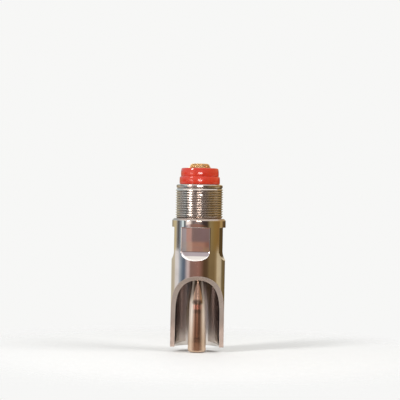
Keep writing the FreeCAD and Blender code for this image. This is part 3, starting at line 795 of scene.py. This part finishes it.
def studio_floor():
    """A round floor just under the stem's tip, rings of points at growing distances. It thins out
    towards its edge, so that it goes over into the pale surroundings without a line."""
    radius = np.array([20, 60, 100, 150, 200, 250])
    columns, gap = 64, 0.2
    turn = np.arange(columns) / columns * math.tau
    points = at(radius[:, None], turn[None, :], TIP_Z - gap).reshape(-1, 3)
    faces = grid_faces(len(radius), columns) + [list(range(columns))]
    floor = mesh_piece("floor", points, faces)
    mix = Finish("pale_floor")
    tint = mix.blend(mix.noise(scale=9, detail=2), (0.80, 0.80, 0.79, 1), (0.84, 0.84, 0.83, 1))
    away = mix.add("ShaderNodeVectorMath", {"Vector": mix.place}, operation="LENGTH").outputs["Value"]
    cover = mix.range(away, 0.07, 0.15, 1.0, 0.0, interpolation_type="SMOOTHERSTEP")
    floor.data.materials.append(mix.finish(Base_Color=tint, Roughness=0.7, Alpha=cover))


studio_floor()

# Surroundings that the steel mirrors. Each tone stands at a direction, in degrees from the front
# towards +X. A height is the Z of a direction whose length is one.

WALLS_SPLIT, LOW_PANEL_TOP, LOWEST_PANEL_TOP = -0.0362, -0.0303, -0.0343
UPPER_WALLS = (
    (-180, (0.60, 0.54, 0.40)), (-160, (0.32, 0.28, 0.21)), (-132, (0.74, 0.64, 0.40)),
    (-116, (0.80, 0.70, 0.44)), (-108, (0.46, 0.44, 0.39)), (-102, (0.17, 0.155, 0.15)),
    (-94, (0.16, 0.175, 0.20)), (-86, (0.34, 0.42, 0.50)), (-80, (0.46, 0.56, 0.64)),
    (-77, (1.0, 1.2, 1.28)), (-69, (0.98, 1.18, 1.25)), (-66, (0.15, 0.19, 0.21)),
    (-61, (0.20, 0.22, 0.24)), (-52, (1.5, 1.42, 1.40)), (-38, (1.35, 1.22, 1.16)),
    (-31, (0.46, 0.39, 0.37)), (-24, (0.24, 0.19, 0.185)), (-16, (0.27, 0.22, 0.22)),
    (-9, (0.37, 0.30, 0.30)), (4, (0.31, 0.25, 0.245)), (19, (0.072, 0.05, 0.05)),
    (36, (0.072, 0.048, 0.04)), (50, (0.35, 0.27, 0.13)), (72, (0.35, 0.225, 0.07)),
    (98, (0.33, 0.19, 0.06)), (110, (0.58, 0.41, 0.17)), (119, (0.50, 0.34, 0.14)),
    (128, (0.16, 0.10, 0.045)), (168, (0.09, 0.055, 0.02)), (180, (0.60, 0.54, 0.40)))
LOWER_WALLS = (
    (-180, (0.66, 0.60, 0.45)), (-150, (0.66, 0.60, 0.48)), (-124, (0.74, 0.68, 0.54)),
    (-117, (1.0, 0.98, 0.97)), (-97, (1.0, 1.0, 1.05)), (-86, (0.52, 0.60, 0.70)),
    (-72, (0.20, 0.26, 0.35)), (-62, (0.15, 0.19, 0.27)), (-57, (0.34, 0.35, 0.42)),
    (-47, (0.78, 0.67, 0.69)), (-41, (0.78, 0.62, 0.62)), (-33, (0.34, 0.21, 0.18)),
    (2, (0.40, 0.205, 0.165)), (15, (0.25, 0.13, 0.09)), (25, (0.13, 0.075, 0.04)),
    (38, (0.14, 0.085, 0.045)), (50, (0.27, 0.19, 0.09)), (72, (0.28, 0.195, 0.09)),
    (82, (0.40, 0.29, 0.15)), (91, (0.78, 0.66, 0.44)), (112, (0.72, 0.62, 0.44)),
    (124, (0.24, 0.18, 0.09)), (150, (0.20, 0.14, 0.06)), (168, (0.10, 0.06, 0.025)),
    (180, (0.66, 0.60, 0.45)))
SKY = (
    (-180, (0.80, 0.80, 0.72)), (-150, (0.70, 0.84, 0.90)), (-60, (0.84, 0.92, 0.98)),
    (-30, (0.68, 0.62, 0.69)), (15, (0.66, 0.60, 0.67)), (60, (0.76, 0.55, 0.27)),
    (150, (0.80, 0.56, 0.26)), (180, (0.80, 0.80, 0.72)))
# The panel that the front flat mirrors takes up only about a degree and a half of the round
PANEL_FIRST, PANEL_LAST = -16.45, -15.05
HIGH_PANEL = (
    (-16.4, (0.48, 0.42, 0.45)), (-16.18, (0.52, 0.48, 0.53)), (-16.12, (0.68, 0.40, 0.34)),
    (-15.94, (0.66, 0.42, 0.38)), (-15.90, (0.31, 0.215, 0.21)), (-15.4, (0.31, 0.21, 0.22)),
    (-15.1, (0.29, 0.20, 0.19)))
LOW_PANEL = (
    (-16.4, (0.48, 0.42, 0.42)), (-16.18, (0.54, 0.50, 0.50)), (-16.1, (0.66, 0.44, 0.37)),
    (-15.93, (0.70, 0.45, 0.36)), (-15.87, (0.54, 0.295, 0.23)), (-15.42, (0.52, 0.28, 0.21)),
    (-15.3, (0.375, 0.19, 0.148)), (-15.1, (0.33, 0.17, 0.14)))
LOWEST_PANEL = (
    (-16.4, (0.46, 0.42, 0.44)), (-16.18, (0.48, 0.48, 0.52)), (-16.1, (0.60, 0.42, 0.33)),
    (-15.93, (0.66, 0.49, 0.43)), (-15.87, (0.42, 0.29, 0.27)), (-15.5, (0.42, 0.27, 0.26)),
    (-15.4, (0.46, 0.30, 0.19)), (-15.1, (0.38, 0.24, 0.17)))
WARM_STRIP = (4.4, 3.4, 2.9, 1)
HIGH_CEILING, TOP_CEILING = (1.25, 1.25, 1.25, 1), (1.7, 1.65, 1.6, 1)


class Surroundings(Nodes):
    """The nodes of the world, by the direction that is looked in."""

    def __init__(self, tree):
        super().__init__(tree)
        place = self.add("ShaderNodeTexCoord").outputs["Generated"]
        parts = self.add("ShaderNodeSeparateXYZ", {"Vector": place}).outputs
        self.height = parts["Z"]
        self.turn = self.math("ARCTAN2", parts["X"], self.times(parts["Y"], -1.0))

    def walls(self, tones, first=-180, last=180):
        """A row of tones round the axis, between two directions."""
        share = self.range(self.turn, math.radians(first), math.radians(last))
        ramp = self.add("ShaderNodeValToRGB", {"Fac": share})
        stops = ramp.color_ramp.elements
        while len(stops) < len(tones):
            stops.new(0.5)
        for stop, (angle, tone) in zip(stops, tones):
            stop.position = (angle - first) / (last - first)
            stop.color = (*tone, 1)
        return ramp.outputs["Color"]

    def below(self, height):
        """Share that goes from none to all just below a height."""
        soft = 0.0015
        return self.range(self.height, height, height - soft)

    def near(self, value, middle, full, none):
        """Share that is all up to one distance from the middle and none from the other on."""
        return self.range(self.math("ABSOLUTE", self.plus(value, -middle)), none, full)

    def window(self, turn, full_turn, no_turn, height, full_height, no_height):
        """Share of a four-sided field round a direction in degrees and a height."""
        across = self.near(self.turn, *(math.radians(angle) for angle in (turn, full_turn, no_turn)))
        return self.times(across, self.near(self.height, height, full_height, no_height))


def mirrored_studio(mix):
    """What glossy surfaces see: walls whose tone changes with the direction round the axis, a
    warm strip that only the thread and its lead-in mirror, the panel of the front flat, a
    greyer sky, and a bright ceiling."""
    walls = mix.blend(mix.below(WALLS_SPLIT), mix.walls(UPPER_WALLS), mix.walls(LOWER_WALLS))
    on_strip = mix.window(turn=-1.0, full_turn=8, no_turn=12,
                          height=0.0500, full_height=0.0620, no_height=0.0660)
    walls = mix.blend(on_strip, walls, WARM_STRIP)
    high, low, lowest = (mix.walls(tones, PANEL_FIRST, PANEL_LAST)
                         for tones in (HIGH_PANEL, LOW_PANEL, LOWEST_PANEL))
    low_half = mix.blend(mix.below(LOWEST_PANEL_TOP), low, lowest)
    panel = mix.blend(mix.below(LOW_PANEL_TOP), high, low_half)
    on_panel = mix.window(turn=-15.75, full_turn=0.9, no_turn=1.3,
                          height=-0.0290, full_height=0.0096, no_height=0.0104)
    studio = mix.blend(on_panel, walls, panel)
    for start, full, tone in ((0.05, 0.12, mix.walls(SKY)), (0.62, 0.70, HIGH_CEILING),
                              (0.955, 0.985, TOP_CEILING)):
        share = mix.range(mix.height, start, full, interpolation_type="SMOOTHSTEP")
        studio = mix.blend(share, studio, tone)
    return studio


def studio_world():
    """Pale all round for the camera and for plain light, and the studio for glossy surfaces."""
    world = bpy.data.worlds.new("studio")
    world.use_nodes = True
    bpy.context.scene.world = world
    mix = Surroundings(world.node_tree)
    ray = mix.add("ShaderNodeLightPath").outputs
    plain, shiny, seen = (
        mix.add("ShaderNodeBackground", {"Color": colour, "Strength": strength}).outputs[0]
        for colour, strength in (((1, 1, 1, 1), 0.55), (mirrored_studio(mix), 1.0),
                                 ((0.93, 0.93, 0.92, 1), 1.0)))
    light = mix.add("ShaderNodeMixShader", {0: ray["Is Glossy Ray"], 1: plain, 2: shiny}).outputs[0]
    both = mix.add("ShaderNodeMixShader", {0: ray["Is Camera Ray"], 1: light, 2: seen}).outputs[0]
    mix.add("ShaderNodeOutputWorld", {"Surface": both})


studio_world()

# Lamps. Distances and sizes are in metres, angles in degrees.

LAMP_AIM = np.array([0, 0, -0.017])


def lamp(name, turn, height, distance, wide, tall, power):
    """A soft lamp that looks at the middle of the drinker, at an angle round it and above it."""
    data = bpy.data.lights.new(name, "AREA")
    data.shape = "RECTANGLE"
    data.size, data.size_y = wide, tall
    data.energy = power
    turn, height = math.radians(turn), math.radians(height)
    away = np.array([math.sin(turn) * math.cos(height), -math.cos(turn) * math.cos(height),
                     math.sin(height)])
    piece = bpy.data.objects.new(name, data)
    bpy.context.scene.collection.objects.link(piece)
    piece.location = away * distance + LAMP_AIM
    piece.rotation_euler = (math.pi / 2 - height, 0, turn)
    return piece


def lit_window(name, turn, width, low, high, brightness):
    """A narrow lit window between two heights in degrees, seen from the upper end of the drinker.
    It gives the long highlights on the thread and the spots on the red plastic."""
    distance, upper_end = 0.9, 0.012
    wide, tall = distance * math.radians(width), distance * math.radians(high - low)
    piece = lamp(name, turn, 0, distance, wide, tall, power=brightness * math.pi * wide * tall)
    piece.location.z = upper_end + distance * math.radians((low + high) / 2)
    return piece


lamp("left_lamp", turn=-50, height=30, distance=0.9, wide=0.16, tall=0.30, power=5.0)
lamp("front_lamp", turn=2, height=5.1, distance=0.9, wide=0.36, tall=0.075, power=2.0)
right_fill = lamp("right_fill", turn=70, height=35, distance=1.0, wide=0.5, tall=0.5, power=5.0)
right_fill.visible_glossy = False
left_window = lit_window("left_window", turn=-52, width=22, low=-0.75, high=5.0, brightness=4)
left_window.data.color = (1.0, 0.84, 0.76)

# Camera

CAMERA_AT, CAMERA_ROLL, VIEW_WIDTH, SENSOR = (0.00027, -0.600, 0.0082), -1.05, 16.81, 36

camera = bpy.data.objects.new("camera", bpy.data.cameras.new("camera"))
bpy.context.scene.collection.objects.link(camera)
camera.location = CAMERA_AT
camera.rotation_euler = (math.pi / 2, math.radians(CAMERA_ROLL), 0)
camera.data.sensor_width = SENSOR
camera.data.lens = SENSOR / 2 / math.tan(math.radians(VIEW_WIDTH / 2))
camera.data.clip_start, camera.data.clip_end = 0.01, 20
bpy.context.scene.camera = camera

bpy.context.scene.view_settings.view_transform = "Standard"
